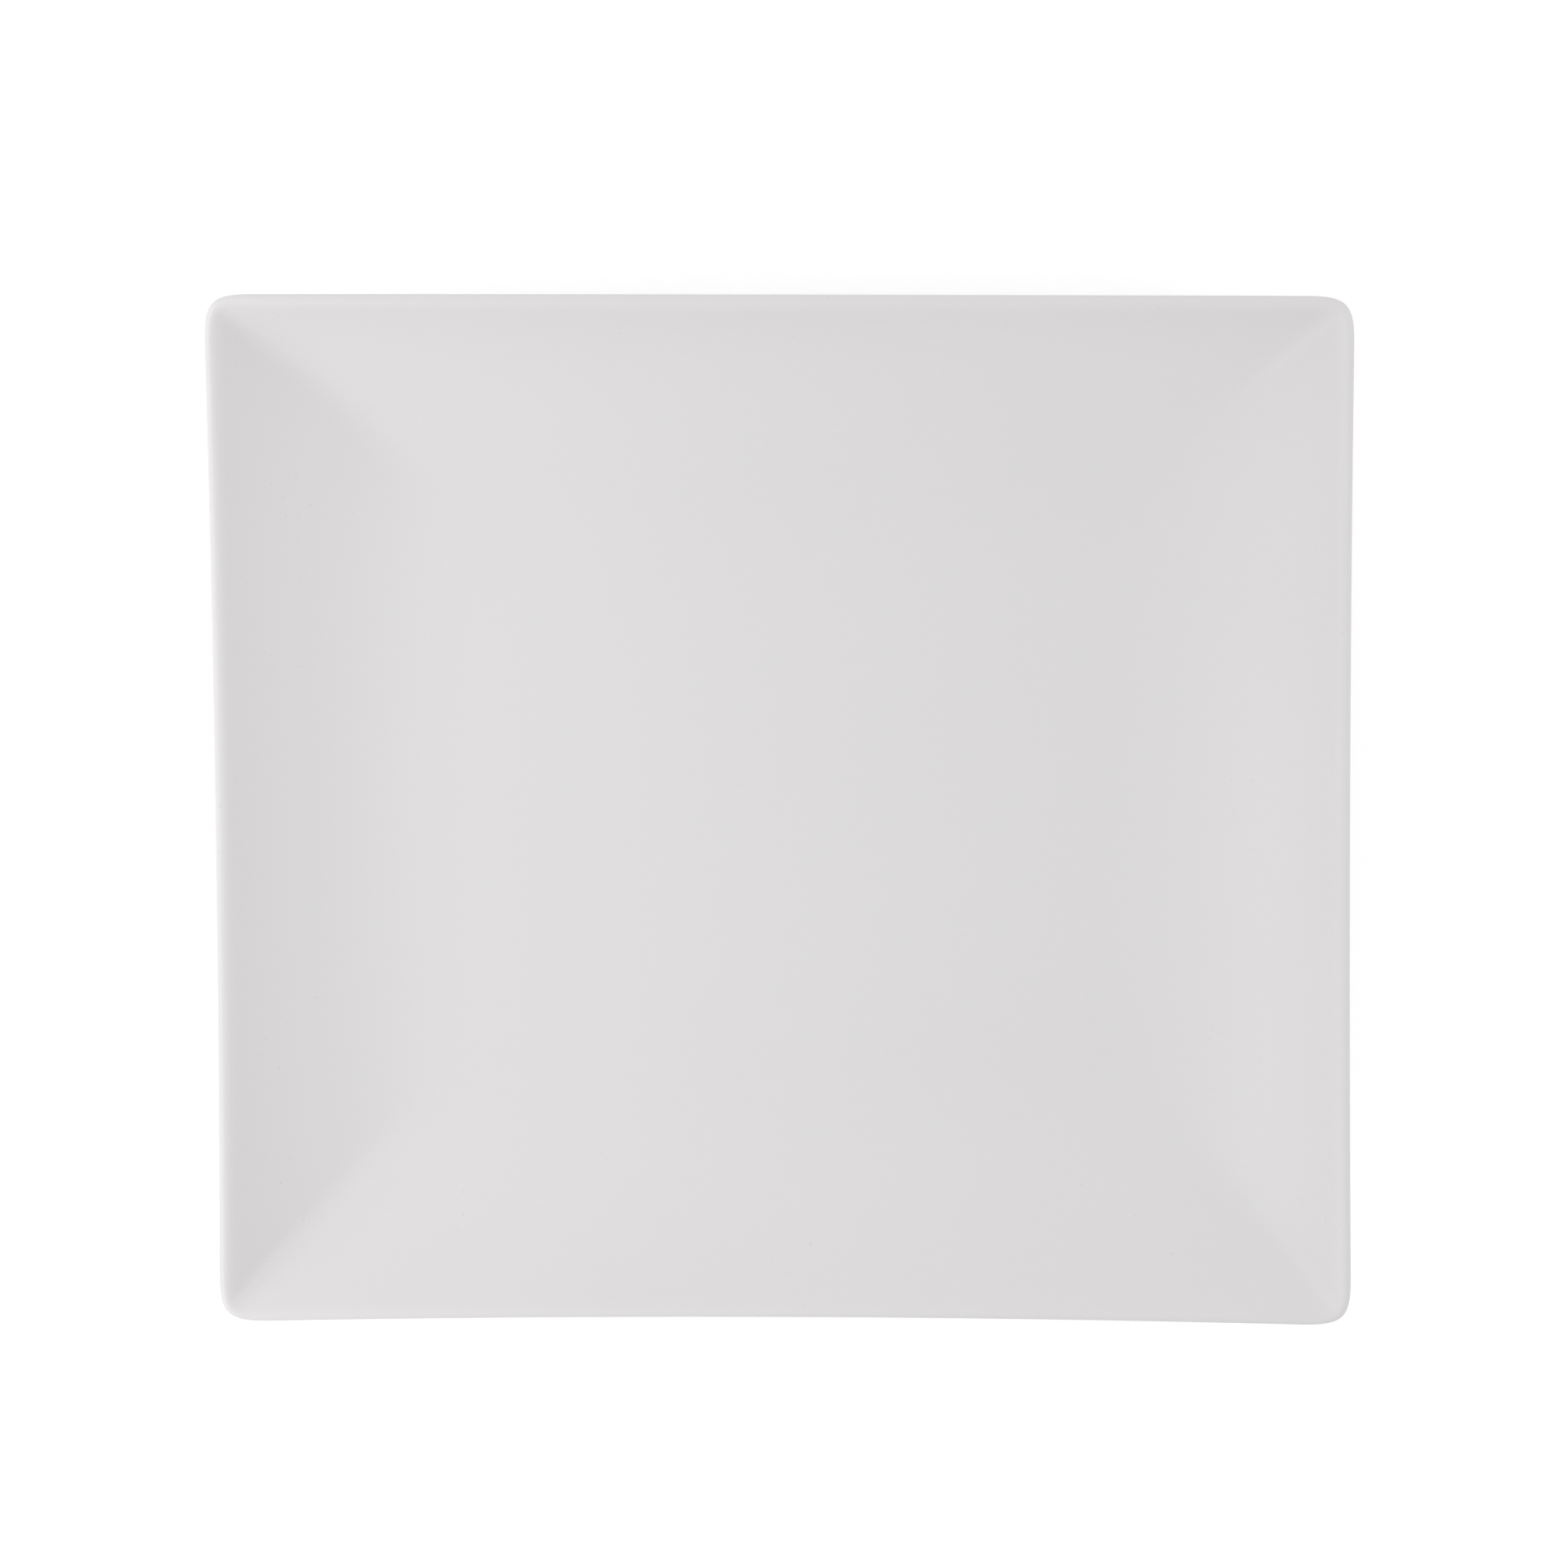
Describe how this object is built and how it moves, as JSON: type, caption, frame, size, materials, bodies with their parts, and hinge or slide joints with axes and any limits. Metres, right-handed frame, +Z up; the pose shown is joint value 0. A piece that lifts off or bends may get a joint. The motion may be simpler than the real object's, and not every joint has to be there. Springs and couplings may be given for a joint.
{
  "type": "porcelain plate",
  "caption": "Rectangular off-white porcelain plate: dished well, sloping sides that meet in soft mitred creases, rounded rim and bare foot ring, for serving food.",
  "frame": {"origin": "middle of the plane that the foot ring stands on", "axes": "+Z up out of the well, +X along the longer sides"},
  "size_m": [0.28, 0.262, 0.0333],
  "materials": {
    "fired_porcelain": "fired, matt, hidden under the glaze",
    "satin_glaze": "satin off-white glaze",
    "bare_porcelain": "unglazed, ground flat on the tread"
  },
  "bodies": {
    "root": {"porcelain_body": "fired_porcelain", "face_glaze": "satin_glaze", "recess_glaze": "satin_glaze", "foot_ring": "bare_porcelain"}
  },
  "joints": []
}
